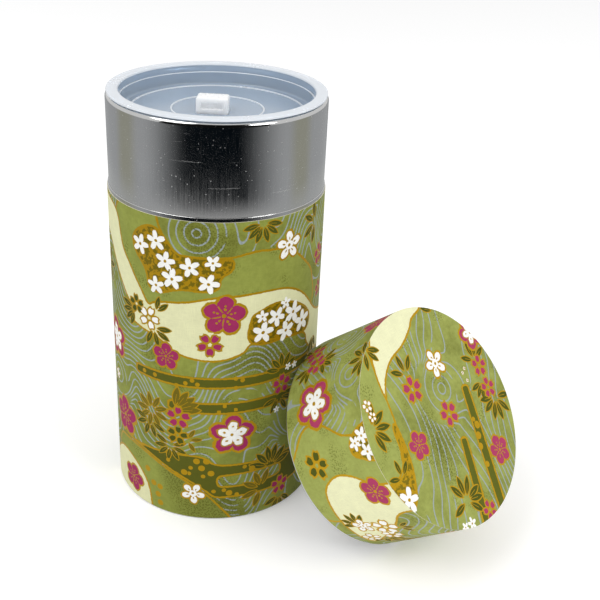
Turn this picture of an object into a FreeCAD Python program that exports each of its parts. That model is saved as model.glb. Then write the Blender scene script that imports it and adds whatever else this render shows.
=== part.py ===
"""Tea caddy: a double-walled tin covered with printed paper, a plastic inner lid and a loose cap.

The can stands on its base with its axis on +Z and the centre of its base at the origin.
The cap has been taken off and leans against the can, with its mouth's rim on the table.
All sizes are in millimetres.
"""
import FreeCAD
import Part

import math
import os

V = FreeCAD.Vector
AXIS = V(0, 0, 1)
CENTRE = V(0, 0, 0)

# Tinplate, paper and the gap between walls that are pressed together.
tin_thickness = 0.3
paper_thickness = 0.25
wall_fit = 0.05

# The can.
neck_radius = 39.4
can_height = 159.2
paper_top_height = 125.1
step_height = 1.4
paper_foot_gap = 0.5
mouth_roll_radius = 1.8
mouth_lip_length = 1.0
base_cup_depth = 5.0
base_corner_radius = 0.8
step_edge_radius = 0.2

# The inner lid, one moulding.
flange_seat_gap = 0.1
flange_thickness = 0.9
flange_edge_inset = 0.4
plug_fit = 0.15
plug_wall = 0.9
plug_lead_in = 0.5
recess_depth = 7.7
ledge_depth = 3.2
ledge_width = 0.4
floor_thickness = 1.0
floor_corner_radius = 0.8
flange_corner_radius = 0.7
inner_ring_radius = 16.5
outer_ring_margin = 3.15
ring_width = 0.7
ring_height = 0.3
tab_width = 11.3
tab_depth = 6.8
tab_front_height = 5.7
tab_back_height = 5.8
tab_offset_x = -1.3
tab_offset_y = -4.1
tab_turn = 1.0
tab_edge_radius = 0.9
pocket_width = 8.4
pocket_height = 2.6
pocket_depth = 1.5
pocket_above_floor = 1.6
pocket_edge_radius = 0.7

# The cap.
cap_clearance = 0.85
cap_length = 40.0
hem_clearance = 0.25
hem_height = 3.0
cap_paper_reveal = 0.9
top_cup_depth = 4.0
skirt_edge_radius = 0.15

# Where the cap lies: the bearing of its mouth from the can, the way its closed end points,
# how far that end is tipped up, and the gap left to the can.
cap_bearing = -22.1
cap_heading = -37.6
cap_tilt = 38.3
cap_gap = 0.3

# Sizes that follow.
barrel_inner = neck_radius - tin_thickness
outer_barrel_inner = neck_radius + wall_fit
outer_barrel_radius = outer_barrel_inner + tin_thickness
body_radius = outer_barrel_radius + paper_thickness
step_top = paper_top_height + step_height
mouth_radius = neck_radius - 2 * mouth_roll_radius
flange_bottom = can_height + flange_seat_gap
flange_top = flange_bottom + flange_thickness
flange_radius = neck_radius - flange_edge_inset
plug_radius = mouth_radius - plug_fit
plug_inner = plug_radius - plug_wall
floor_top = flange_top - recess_depth
floor_bottom = floor_top - floor_thickness
floor_radius = plug_inner - ledge_width
outer_ring_radius = floor_radius - outer_ring_margin
cap_inner = neck_radius + cap_clearance
cap_tin_radius = cap_inner + tin_thickness
cap_radius = cap_tin_radius + paper_thickness
cap_tin_length = cap_length - paper_thickness
hem_inner = neck_radius + hem_clearance
hem_roundness = (cap_tin_radius - hem_inner) / 2
hem_middle = hem_inner + hem_roundness


def line(start, end):
    """A straight edge of a profile between two (radius, height) points."""
    return Part.LineSegment(V(start[0], 0, start[1]), V(end[0], 0, end[1])).toShape()


def arc(start, middle, end):
    """A round edge of a profile through three (radius, height) points."""
    points = [V(point[0], 0, point[1]) for point in (start, middle, end)]
    return Part.Arc(*points).toShape()


def spin(edges):
    """The solid of revolution of a closed profile about the vertical axis."""
    face = Part.Face(Part.Wire(edges))
    return face.revolve(CENTRE, AXIS, 360)


def spin_points(points):
    """The same for a profile that has only straight edges."""
    closed = list(points) + [points[0]]
    return spin([line(start, end) for start, end in zip(closed, closed[1:])])


def tube(inner, outer, bottom, top):
    return spin_points([(inner, bottom), (outer, bottom), (outer, top), (inner, top)])


def corner(centre, radius, angle):
    """The point of a round corner at an angle in degrees from the outward direction."""
    turn = math.radians(angle)
    return (centre[0] + radius * math.cos(turn), centre[1] + radius * math.sin(turn))


def inner_barrel():
    """Straight wall, then a roll through half a turn at the mouth that ends in a short lip."""
    roll_height = can_height - mouth_roll_radius
    roll_centre = (neck_radius - mouth_roll_radius, roll_height)
    inside_roll = mouth_roll_radius - tin_thickness
    lip_bottom = roll_height - mouth_lip_length
    lip_back = mouth_radius + tin_thickness
    return spin([
        line((barrel_inner, 0), (neck_radius, 0)),
        line((neck_radius, 0), (neck_radius, roll_height)),
        arc((neck_radius, roll_height), corner(roll_centre, mouth_roll_radius, 90),
            (mouth_radius, roll_height)),
        line((mouth_radius, roll_height), (mouth_radius, lip_bottom)),
        line((mouth_radius, lip_bottom), (lip_back, lip_bottom)),
        line((lip_back, lip_bottom), (lip_back, roll_height)),
        arc((lip_back, roll_height), corner(roll_centre, inside_roll, 90),
            (barrel_inner, roll_height)),
        line((barrel_inner, roll_height), (barrel_inner, 0)),
    ])


def outer_barrel():
    """Plain wall up to the step at the neck's foot, where its top edge is eased over."""
    centre = (outer_barrel_radius - step_edge_radius, step_top - step_edge_radius)
    return spin([
        line((outer_barrel_inner, 0), (outer_barrel_radius, 0)),
        line((outer_barrel_radius, 0), corner(centre, step_edge_radius, 0)),
        arc(corner(centre, step_edge_radius, 0), corner(centre, step_edge_radius, 45),
            corner(centre, step_edge_radius, 90)),
        line(corner(centre, step_edge_radius, 90), (outer_barrel_inner, step_top)),
        line((outer_barrel_inner, step_top), (outer_barrel_inner, 0)),
    ])


def pressed_cup(radius, depth, corner_radius):
    """A round plate at height 0 with its edge turned up, as pressed from one sheet."""
    outside = (radius - corner_radius, corner_radius)
    inner = radius - tin_thickness
    inside_corner = corner_radius - tin_thickness
    return spin([
        line((0, 0), (outside[0], 0)),
        arc((outside[0], 0), corner(outside, corner_radius, -45), (radius, outside[1])),
        line((radius, outside[1]), (radius, depth)),
        line((radius, depth), (inner, depth)),
        line((inner, depth), (inner, outside[1])),
        arc((inner, outside[1]), corner(outside, inside_corner, -45), (outside[0], tin_thickness)),
        line((outside[0], tin_thickness), (0, tin_thickness)),
        line((0, tin_thickness), (0, 0)),
    ])


def base_plate():
    return pressed_cup(barrel_inner - wall_fit, base_cup_depth, base_corner_radius)


def body_washi():
    return tube(outer_barrel_radius, body_radius, paper_foot_gap, paper_top_height)


def lid_moulding():
    """Flange, plug wall with its ledge, and the sunken floor of the inner lid."""
    ledge_top = flange_top - ledge_depth
    rim = (plug_inner + flange_corner_radius, flange_top - flange_corner_radius)
    foot = (floor_radius - floor_corner_radius, floor_top + floor_corner_radius)
    return spin([
        line((0, floor_bottom), (plug_radius - plug_lead_in, floor_bottom)),
        line((plug_radius - plug_lead_in, floor_bottom), (plug_radius, floor_bottom + plug_lead_in)),
        line((plug_radius, floor_bottom + plug_lead_in), (plug_radius, flange_bottom)),
        line((plug_radius, flange_bottom), (flange_radius, flange_bottom)),
        line((flange_radius, flange_bottom), (flange_radius, flange_top)),
        line((flange_radius, flange_top), (rim[0], flange_top)),
        arc((rim[0], flange_top), corner(rim, flange_corner_radius, 135), (plug_inner, rim[1])),
        line((plug_inner, rim[1]), (plug_inner, ledge_top)),
        line((plug_inner, ledge_top), (floor_radius, ledge_top)),
        line((floor_radius, ledge_top), (floor_radius, foot[1])),
        arc((floor_radius, foot[1]), corner(foot, floor_corner_radius, -45), (foot[0], floor_top)),
        line((foot[0], floor_top), (0, floor_top)),
        line((0, floor_top), (0, floor_bottom)),
    ])


def floor_ring(radius):
    """A low round ring moulded on the floor, sunk a little so that it joins it."""
    root = floor_top - floor_thickness / 2
    return tube(radius - ring_width / 2, radius + ring_width / 2, root, floor_top + ring_height)


def pull_tab():
    """A hollow-fronted grip that stands on the floor, its top sloping up to the back."""
    root = floor_top - floor_thickness / 2
    front = -tab_depth / 2
    back = tab_depth / 2
    left = -tab_width / 2
    side = [V(left, front, root), V(left, front, floor_top + tab_front_height),
            V(left, back, floor_top + tab_back_height), V(left, back, root)]
    block = Part.Face(Part.makePolygon(side + side[:1])).extrude(V(tab_width, 0, 0))
    upper = [edge for edge in block.Edges
             if min(vertex.Z for vertex in edge.Vertexes) > floor_top
             or abs(edge.Vertexes[0].Z - edge.Vertexes[-1].Z) > tab_front_height / 2]
    block = block.makeFillet(tab_edge_radius, upper)
    pocket = Part.makeBox(pocket_width, pocket_depth, pocket_height,
                          V(-pocket_width / 2, front, floor_top + pocket_above_floor))
    inner = [edge for edge in pocket.Edges
             if abs(edge.Vertexes[0].Y - edge.Vertexes[-1].Y) > pocket_depth / 2]
    grip = block.cut(pocket.makeFillet(pocket_edge_radius, inner))
    grip.rotate(CENTRE, AXIS, -tab_turn)
    grip.translate(V(tab_offset_x, tab_offset_y, 0))
    return grip


def inner_lid():
    raised = [floor_ring(inner_ring_radius), floor_ring(outer_ring_radius), pull_tab()]
    return lid_moulding().multiFuse(raised).removeSplitter()


def lid_barrel():
    """Cap's skirt, mouth at height 0, with its mouth edge rolled back inside as a round hem."""
    hem_centre = (hem_middle, hem_roundness)
    top_corner = (cap_tin_radius - skirt_edge_radius, cap_tin_length - skirt_edge_radius)
    return spin([
        arc((cap_tin_radius, hem_roundness), corner(hem_centre, hem_roundness, -90),
            (hem_inner, hem_roundness)),
        line((hem_inner, hem_roundness), (hem_inner, hem_height)),
        line((hem_inner, hem_height), (cap_inner, hem_height)),
        line((cap_inner, hem_height), (cap_inner, cap_tin_length)),
        line((cap_inner, cap_tin_length), corner(top_corner, skirt_edge_radius, 90)),
        arc(corner(top_corner, skirt_edge_radius, 90), corner(top_corner, skirt_edge_radius, 45),
            corner(top_corner, skirt_edge_radius, 0)),
        line(corner(top_corner, skirt_edge_radius, 0), (cap_tin_radius, hem_roundness)),
    ])


def lid_top_plate():
    """Pressed cup turned over, pushed into the skirt until it is flush with its end."""
    cup = pressed_cup(cap_inner - wall_fit, top_cup_depth, base_corner_radius)
    return cup.mirror(CENTRE, AXIS).translated(V(0, 0, cap_tin_length))


def lid_side_washi():
    return tube(cap_tin_radius, cap_radius, cap_paper_reveal, cap_tin_length)


def lid_top_washi():
    """Round sheet over the closed end, which also covers the cut edge of the side paper."""
    edge = (cap_radius - paper_thickness / 2, cap_length - paper_thickness / 2)
    half = paper_thickness / 2
    return spin([
        line((0, cap_tin_length), (edge[0], cap_tin_length)),
        arc((edge[0], cap_tin_length), corner(edge, half, 0), (edge[0], cap_length)),
        line((edge[0], cap_length), (0, cap_length)),
        line((0, cap_length), (0, cap_tin_length)),
    ])


def cap_axis():
    heading = math.radians(cap_heading)
    tilt = math.radians(cap_tilt)
    level = math.cos(tilt)
    return V(level * math.cos(heading), level * math.sin(heading), math.sin(tilt))


def mouth_centre(distance):
    """Centre of the cap's mouth at a distance from the can's axis, its rounded hem on the table."""
    bearing = math.radians(cap_bearing)
    tilt = math.radians(cap_tilt)
    height = hem_middle * math.cos(tilt) + hem_roundness * (1 - math.sin(tilt))
    return V(distance * math.cos(bearing), distance * math.sin(bearing), height)


def gap_to_can(distance):
    """Least gap between the can's paper and the cap's rounded hem or the edge of its paper."""
    axis = cap_axis()
    across = axis.cross(AXIS).normalize()
    up = across.cross(axis)
    steps = 720
    gaps = []
    hem = (hem_middle, hem_roundness, hem_roundness)
    paper_edge = (cap_radius, cap_paper_reveal, 0)
    for radius, height, roundness in (hem, paper_edge):
        centre = mouth_centre(distance) + axis * height
        for step in range(steps):
            turn = 2 * math.pi * step / steps
            point = centre + across * (radius * math.cos(turn)) + up * (radius * math.sin(turn))
            gaps.append(math.hypot(point.x, point.y) - roundness - body_radius)
    return min(gaps)


def lean():
    """Placement that takes the cap from its own axes to where it leans on the can."""
    near = body_radius
    far = body_radius + 3 * cap_radius
    for _ in range(60):
        middle = (near + far) / 2
        if gap_to_can(middle) < cap_gap:
            near = middle
        else:
            far = middle
    return FreeCAD.Placement(mouth_centre(far), FreeCAD.Rotation(AXIS, cap_axis()))


def leaned(shape):
    placed = shape.copy()
    placed.Placement = lean() * shape.Placement
    return placed


nodes = {
    "inner_barrel": inner_barrel(),
    "outer_barrel": outer_barrel(),
    "base_plate": base_plate(),
    "body_washi": body_washi(),
    "inner_lid": inner_lid(),
    "lid_barrel": leaned(lid_barrel()),
    "lid_top_plate": leaned(lid_top_plate()),
    "lid_side_washi": leaned(lid_side_washi()),
    "lid_top_washi": leaned(lid_top_washi()),
}

os.makedirs("parts", exist_ok=True)
for name, shape in nodes.items():
    shape.exportStep("parts/" + name + ".step")
    box = shape.BoundBox
    print(name, shape.isValid(), len(shape.Solids), round(shape.Volume, 1),
          [round(value, 2) for value in (box.XMin, box.YMin, box.ZMin, box.XMax, box.YMax, box.ZMax)])
place = lean()
print("cap mouth centre", [round(value, 3) for value in place.Base], "gap", cap_gap)
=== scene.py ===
import math

import bmesh
import bpy
import numpy as np
from mathutils import Matrix, Vector


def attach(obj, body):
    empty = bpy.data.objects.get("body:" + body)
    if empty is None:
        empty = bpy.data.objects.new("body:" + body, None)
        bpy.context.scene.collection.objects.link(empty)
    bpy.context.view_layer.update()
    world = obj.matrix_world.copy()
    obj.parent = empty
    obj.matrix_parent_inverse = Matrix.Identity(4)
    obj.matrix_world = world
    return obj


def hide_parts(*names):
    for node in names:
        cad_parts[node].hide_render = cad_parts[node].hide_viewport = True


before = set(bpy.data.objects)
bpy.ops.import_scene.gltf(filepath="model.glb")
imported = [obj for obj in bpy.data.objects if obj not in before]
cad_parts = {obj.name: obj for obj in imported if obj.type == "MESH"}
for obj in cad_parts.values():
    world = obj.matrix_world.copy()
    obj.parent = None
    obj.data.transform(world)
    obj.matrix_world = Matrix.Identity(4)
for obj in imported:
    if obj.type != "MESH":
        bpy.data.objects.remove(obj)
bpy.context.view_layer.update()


# --- Base plate -----------------------------------------------------------------------------
# The can's bottom: one round cup pressed from 0.3 mm tinplate, edge turned up inside the wall.
# It is soldered to the inner barrel and shows only from below and down inside the can.

MILLIMETRE = Matrix.Scale(0.001, 4)
UPRIGHT = Matrix.Identity(4)


def colour(red, green, blue):
    """A colour as a printer reads it off a swatch, 0 to 255, turned into light."""
    light = []
    for level in (red, green, blue):
        share = level / 255
        light.append(share / 12.92 if share <= 0.04045 else ((share + 0.055) / 1.055) ** 2.4)
    return (*light, 1.0)


def draw(bm, *points):
    """Straight runs of a section through (radius, height) points; gives back their vertices."""
    drawn = [bm.verts.new((radius, 0.0, height)) for radius, height in points]
    for start, end in zip(drawn, drawn[1:]):
        bm.edges.new((start, end))
    return drawn


def curl(bm, start, centre, degrees, steps):
    """A round run of a section: the start point swung about a centre; gives back its far end."""
    swung = bmesh.ops.spin(
        bm, geom=[start], cent=(centre[0], 0, centre[1]), axis=(0, 1, 0), dvec=(0, 0, 0),
        angle=math.radians(degrees), steps=steps, use_merge=False, use_duplicate=False)
    return [item for item in swung["geom_last"] if isinstance(item, bmesh.types.BMVert)][0]


def join(bm, start, end):
    bm.edges.new((start, end))


def turn(bm, steps):
    """Spins a drawn section a full turn about the can's axis and closes its seam and poles."""
    bmesh.ops.remove_doubles(bm, verts=bm.verts[:], dist=0.0001)
    bmesh.ops.spin(
        bm, geom=bm.verts[:] + bm.edges[:], cent=(0, 0, 0), axis=(0, 0, 1), dvec=(0, 0, 0),
        angle=math.tau, steps=steps, use_merge=True, use_duplicate=False)
    bmesh.ops.remove_doubles(bm, verts=bm.verts[:], dist=0.0001)
    bmesh.ops.recalc_face_normals(bm, faces=bm.faces[:])


def finished(name, bm, material, place=UPRIGHT):
    """The object of a finished shape drawn in millimetres, laid where it belongs."""
    mesh = bpy.data.meshes.new(name)
    bm.to_mesh(mesh)
    bm.free()
    mesh.transform(place @ MILLIMETRE)
    for made in material if isinstance(material, list) else [material]:
        mesh.materials.append(made)
    mesh.shade_smooth()
    mesh.set_sharp_from_angle(angle=math.radians(35))
    piece = bpy.data.objects.new(name, mesh)
    bpy.context.scene.collection.objects.link(piece)
    return piece


def roll_out(bm, radius):
    """Marks a turned wall with its distance round and its height, as if it lay flat, in mm."""
    flat = bm.loops.layers.uv.new("sheet")
    for face in bm.faces:
        middle = face.calc_center_median()
        bearing = math.atan2(middle.x, -middle.y)
        for corner in face.loops:
            here = math.atan2(corner.vert.co.x, -corner.vert.co.y)
            if here - bearing > math.pi:
                here -= math.tau
            if bearing - here > math.pi:
                here += math.tau
            corner[flat].uv = (here * radius, corner.vert.co.z)


def add(tree, kind, **settings):
    made = tree.nodes.new("ShaderNode" + kind)
    for setting, value in settings.items():
        setattr(made, setting, value)
    return made


def feed(socket, value):
    if isinstance(value, Reading):
        value = value.socket
    if isinstance(value, bpy.types.NodeSocket):
        socket.id_data.links.new(value, socket)
    else:
        socket.default_value = value


def fill(node, **values):
    """Numbers, colours and readings for a node's sockets by name, such as Base_Color."""
    for label, value in values.items():
        feed(node.inputs[label.replace("_", " ")], value)


class Reading:
    """A number that changes over a surface, so that a finish is worked out like a sum."""

    def __init__(self, socket):
        self.tree = socket.id_data
        self.socket = socket

    def then(self, operation, other=0.0):
        step = add(self.tree, "Math", operation=operation)
        feed(step.inputs[0], self)
        feed(step.inputs[1], other)
        return Reading(step.outputs[0])

    def __add__(self, other):
        return self.then("ADD", other)

    def __sub__(self, other):
        return self.then("SUBTRACT", other)

    def __mul__(self, other):
        return self.then("MULTIPLY", other)

    def __truediv__(self, other):
        return self.then("DIVIDE", other)

    def least(self, other):
        return self.then("MINIMUM", other)

    def most(self, other):
        return self.then("MAXIMUM", other)

    def size(self):
        return self.then("ABSOLUTE")

    def under(self, edge, soft):
        """1 where the number is well under the edge, 0 where it is well over."""
        ramp = add(self.tree, "MapRange", interpolation_type="SMOOTHSTEP")
        fill(ramp, Value=self - edge, From_Min=-soft, From_Max=soft, To_Min=1.0, To_Max=0.0)
        return Reading(ramp.outputs["Result"])

    def over(self, edge, soft):
        return self.under(edge, soft).flipped()

    def flipped(self):
        """The opposite share: 1 becomes 0."""
        step = add(self.tree, "Math", operation="SUBTRACT")
        step.inputs[0].default_value = 1.0
        feed(step.inputs[1], self)
        return Reading(step.outputs[0])


def tint(share, below, above):
    """One colour laid over another by a share."""
    mix = add(share.tree, "Mix", data_type="RGBA", clamp_factor=True)
    feed(mix.inputs[0], share)
    feed(mix.inputs[6], below)
    feed(mix.inputs[7], above)
    return mix.outputs[2]


def cloudy(place, scale, detail=2.0, stretch=(1, 1, 1), shift=(0, 0, 0)):
    """Soft random levels, about 0.5, from a place in a stretched space."""
    lay = add(place.id_data, "Mapping")
    fill(lay, Vector=place, Scale=stretch, Location=shift)
    noise = add(place.id_data, "TexNoise")
    fill(noise, Vector=lay.outputs[0], Scale=scale, Detail=detail)
    return Reading(noise.outputs["Fac"])


def group(name, inputs, outputs):
    """An empty node group with named sockets, and its two ends."""
    tree = bpy.data.node_groups.new(name, "ShaderNodeTree")
    for label, kind in inputs:
        tree.interface.new_socket(name=label, in_out="INPUT", socket_type="NodeSocket" + kind)
    for label, kind in outputs:
        tree.interface.new_socket(name=label, in_out="OUTPUT", socket_type="NodeSocket" + kind)
    return tree, tree.nodes.new("NodeGroupInput"), tree.nodes.new("NodeGroupOutput")


def placed(tree, built, **values):
    """A node group set into a material with its own values, such as Leaf_Green."""
    node = add(tree, "Group", node_tree=built)
    fill(node, **values)
    return node


def relief(skin, height, strength, distance):
    """Fine relief of a finish, with its full height in metres as the distance."""
    bump = add(skin.id_data, "Bump")
    fill(bump, Height=height, Strength=strength, Distance=distance)
    fill(skin, Normal=bump.outputs[0])


def new_material(name):
    made = bpy.data.materials.new(name)
    made.use_nodes = True
    return made, made.node_tree, made.node_tree.nodes["Principled BSDF"]


def grain_group():
    """Rolled sheet metal: fine lines along the roll, cloudy tarnish, rub marks and specks."""
    tree, start, end = group(
        "rolled_grain",
        [("Place", "Vector"), ("Line Depth", "Float"), ("Tarnish", "Float")],
        [("Shade", "Float"), ("Roughness", "Float"), ("Height", "Float")])
    place = start.outputs["Place"]
    lines = cloudy(place, 1.0, 3.0, stretch=(2.6, 0.055, 1))
    hair = cloudy(place, 1.0, 1.0, stretch=(9.0, 0.35, 1), shift=(40, 3, 0))
    bloom = cloudy(place, 0.045, 3.0, shift=(11, 7, 0))
    specks = cloudy(place, 1.3, 0.0, shift=(5, 60, 0)).over(0.80, 0.012)
    scuff = cloudy(place, 1.0, 2.0, stretch=(0.05, 1.1, 1), shift=(1, 23, 0)).over(0.70, 0.02)
    depth = Reading(start.outputs["Line Depth"])
    tarnish = Reading(start.outputs["Tarnish"])
    grain = lines * 0.65 + hair * 0.35
    shade = (grain - 0.5) * 0.40 + (bloom - 0.5) * tarnish + specks * 0.25 + scuff * 0.08
    rough = (grain - 0.5) * 0.22 + (bloom - 0.5) * 0.16 + scuff * 0.12 + specks * 0.3
    height = grain * depth - scuff * 0.15 + specks * 0.3
    fill(end, Shade=shade, Roughness=rough, Height=height)
    return tree


rolled_grain = grain_group()


def tinplate(name, bright, dull, roughness, depth, tarnish):
    """Bare tinplate, satin from its rolling, read off the sheet laid flat in millimetres."""
    made, tree, skin = new_material(name)
    sheet = add(tree, "UVMap", uv_map="sheet")
    grain = placed(
        tree, rolled_grain, Place=sheet.outputs[0], Tarnish=tarnish, Line_Depth=depth)
    shade = Reading(grain.outputs["Shade"]) + 0.5
    rough = Reading(grain.outputs["Roughness"]) + roughness
    fill(skin, Base_Color=tint(shade, dull, bright), Roughness=rough, Metallic=1.0)
    relief(skin, grain.outputs["Height"], 0.5, 0.00001)
    return made


TIN_SHEET = 0.3
BASE_RADIUS = 39.05
BASE_DEPTH = 5.0
BASE_CORNER = 0.8
inside_tin = tinplate(
    "inside_tin", (0.66, 0.67, 0.67, 1), (0.36, 0.37, 0.37, 1), 0.34, 1.0, 0.5)


def pressed_cup(bm, radius, depth, corner):
    """Section of a shallow cup of tin: flat plate, round corner, short upright edge."""
    middle = (radius - corner, corner)
    bottom = draw(bm, (0, 0), (radius - corner, 0))
    wall = curl(bm, bottom[-1], middle, -90, 6)
    edge = draw(bm, (radius, depth), (radius - TIN_SHEET, depth), (radius - TIN_SHEET, corner))
    join(bm, wall, edge[0])
    inside = curl(bm, edge[-1], middle, 90, 6)
    plate = draw(bm, (radius - corner, TIN_SHEET), (0, TIN_SHEET))
    join(bm, inside, plate[0])


bm = bmesh.new()
pressed_cup(bm, BASE_RADIUS, BASE_DEPTH, BASE_CORNER)
turn(bm, 192)
roll_out(bm, BASE_RADIUS)
base = finished("base_disc", bm, inside_tin)
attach(base, "can")
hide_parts("base_plate")


# --- Inner barrel ---------------------------------------------------------------------------
# The can's inner wall, 0.3 mm tinplate rolled round and seamed. Its top 33 mm is the bare neck
# that the cap slides over, and its mouth edge is rolled inwards into a round bead.

NECK_RADIUS = 39.4
CAN_HEIGHT = 159.2
MOUTH_ROLL = 1.8
MOUTH_LIP = 1.0
neck_tin = tinplate(
    "neck_tin", (0.76, 0.76, 0.75, 1), (0.52, 0.52, 0.52, 1), 0.11, 0.6, 0.26)

bm = bmesh.new()
roll_height = CAN_HEIGHT - MOUTH_ROLL
roll_centre = (NECK_RADIUS - MOUTH_ROLL, roll_height)
mouth = NECK_RADIUS - 2 * MOUTH_ROLL
wall = draw(bm, (NECK_RADIUS, 0), (NECK_RADIUS, roll_height))
over = curl(bm, wall[-1], roll_centre, -180, 18)
lip = draw(
    bm, (mouth, roll_height - MOUTH_LIP), (mouth + TIN_SHEET, roll_height - MOUTH_LIP),
    (mouth + TIN_SHEET, roll_height))
join(bm, over, lip[0])
back = curl(bm, lip[-1], roll_centre, 180, 18)
foot = draw(bm, (NECK_RADIUS - TIN_SHEET, 0))
join(bm, back, foot[0])
join(bm, foot[0], wall[0])
turn(bm, 256)
roll_out(bm, NECK_RADIUS)
neck = finished("inner_wall", bm, neck_tin)
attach(neck, "can")
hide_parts("inner_barrel")


# --- Outer barrel ---------------------------------------------------------------------------
# A second tinplate wall that backs the paper. Only its top edge shows, a narrow bright step at
# the foot of the neck, eased over so that it doesn't cut the cap that stops on it.

WALL_RADIUS = 39.75
STEP_TOP = 126.5
STEP_EASE = 0.2

bm = bmesh.new()
inner = NECK_RADIUS + 0.05
outside = draw(bm, (inner, 0), (WALL_RADIUS, 0), (WALL_RADIUS, STEP_TOP - STEP_EASE))
eased = curl(bm, outside[-1], (WALL_RADIUS - STEP_EASE, STEP_TOP - STEP_EASE), -90, 4)
top = draw(bm, (inner, STEP_TOP))
join(bm, eased, top[0])
join(bm, top[0], outside[0])
turn(bm, 256)
roll_out(bm, WALL_RADIUS)
step = finished("outer_wall", bm, neck_tin)
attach(step, "can")
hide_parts("outer_barrel")


# --- Printed paper of the can ---------------------------------------------------------------
# Handmade-style paper, printed in green, gold, silver, white and plum red with generic plum
# and cherry blossom, leaves, clouds and water lines, pasted all round the outer wall.

PAPER_RADIUS = 39.98
PAPER_FOOT = 0.5
PAPER_TOP = 125.1
PAPER = 0.25
PRINT_STEP = 0.7
PLUM, RINGED, CHERRY, STAR, WHITE, GOLD, DOT, PALE = range(1, 9)
OLIVE_LEAF, GOLD_LEAF = 1, 2


def rounded(outline, passes=3):
    """An outline drawn through a few points, with its corners worn round."""
    line = np.array(outline, float)
    for _ in range(passes):
        ahead = np.roll(line, -1, axis=0)
        line = np.stack([line * 0.75 + ahead * 0.25, line * 0.25 + ahead * 0.75], 1)
        line = line.reshape(-1, 2)
    return line


def reach(places, outline, far=14.0):
    """Distance in mm from each place to an outline, less than nothing inside it."""
    line = rounded(outline)
    low = line.min(0) - far
    high = line.max(0) + far
    near = np.all((places > low) & (places < high), axis=1)
    distance = np.full(len(places), far)
    here = places[near]
    if len(here) == 0:
        return distance
    nearest = np.full(len(here), far * far)
    inside = np.zeros(len(here), bool)
    for start, end in zip(line, np.roll(line, -1, axis=0)):
        run = end - start
        offset = here - start
        share = np.clip(offset @ run / max(run @ run, 1e-9), 0, 1)
        gap = offset - share[:, None] * run
        nearest = np.minimum(nearest, (gap * gap).sum(1))
        crosses = (start[1] > here[:, 1]) != (end[1] > here[:, 1])
        rise = end[1] - start[1]
        rise = rise if abs(rise) > 1e-9 else 1e-9
        meets = start[0] + (here[:, 1] - start[1]) / rise * run[0]
        inside ^= crosses & (here[:, 0] < meets)
    distance[near] = np.sqrt(nearest) * np.where(inside, -1, 1)
    return distance


def bar(start, end, half):
    """The outline of a long bar with round ends."""
    along = np.array(end, float) - start
    along /= np.hypot(*along)
    side = np.array([-along[1], along[0]]) * half
    tip = along * half
    outline = []
    for middle, way in ((np.array(start, float), 1), (np.array(end, float), -1)):
        for across, back in ((1, 0.2), (0.7, 1.1), (-0.7, 1.1), (-1, 0.2)):
            outline.append(middle + way * (across * side - back * tip))
    return outline


def spray(x, y, length, bearings, kind=OLIVE_LEAF, root=0.2):
    """Leaves that spread from one point: each is (x, y, length, bearing, kind)."""
    leaves = []
    for bearing in bearings:
        way = math.radians(bearing)
        leaves.append((x + root * length * math.cos(way), y + root * length * math.sin(way),
                       length, bearing, kind))
    return leaves


def motif_place(away, size, bearing):
    """Places round a motif, along its bearing and across it, in its own sizes."""
    way = np.radians(bearing)
    along = (away[:, 0] * np.cos(way) + away[:, 1] * np.sin(way)) / size
    across = (away[:, 1] * np.cos(way) - away[:, 0] * np.sin(way)) / size
    return along, across


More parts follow.
